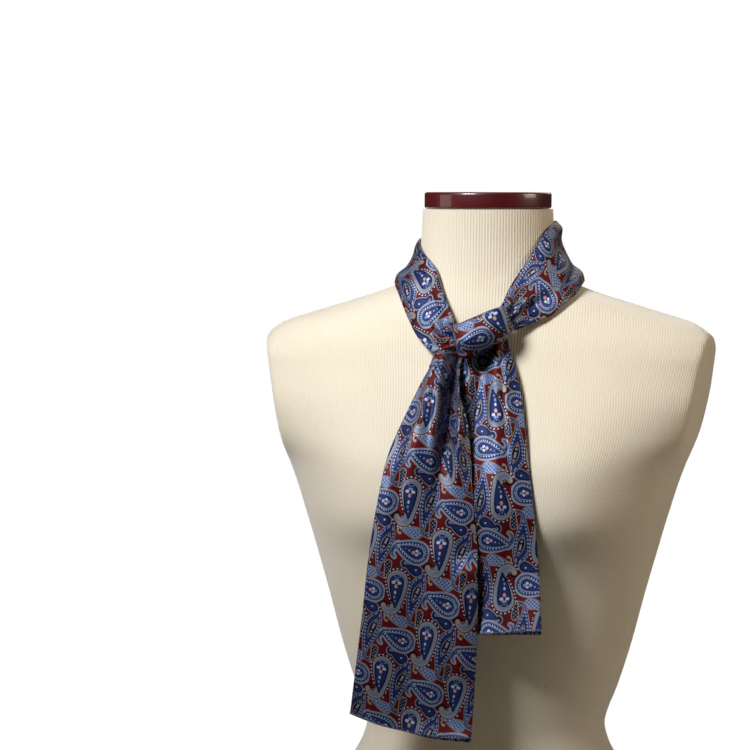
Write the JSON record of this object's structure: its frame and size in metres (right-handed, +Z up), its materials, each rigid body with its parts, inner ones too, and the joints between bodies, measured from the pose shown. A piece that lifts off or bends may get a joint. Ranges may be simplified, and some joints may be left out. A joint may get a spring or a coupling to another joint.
{
  "type": "silk scarf on a dress form",
  "caption": "Narrow doubled silk scarf with a paisley print, tied in a half knot round the neck of a jersey dress form, its tails hanging down the front.",
  "frame": {"origin": "middle of the whole object's footprint, at the dress form's flat base", "axes": "+Z up, the dress form faces -Y, +X is on the viewer's right when the front is looked at"},
  "size_m": [0.4106, 0.267, 0.736],
  "materials": {
    "jersey": "fine ribbed cream knit, matte",
    "cap": "dark red-brown lacquer, gloss",
    "silk": "printed silk twill, paisley in blues and cream on burgundy, satin"
  },
  "bodies": {
    "root": {"form_torso": "jersey", "neck_cap": "cap", "scarf_band_left": "silk", "scarf_band_back": "silk", "scarf_band_right": "silk", "scarf_knot_wrap": "silk", "scarf_tail_long": "silk", "scarf_tail_short": "silk"}
  },
  "joints": []
}
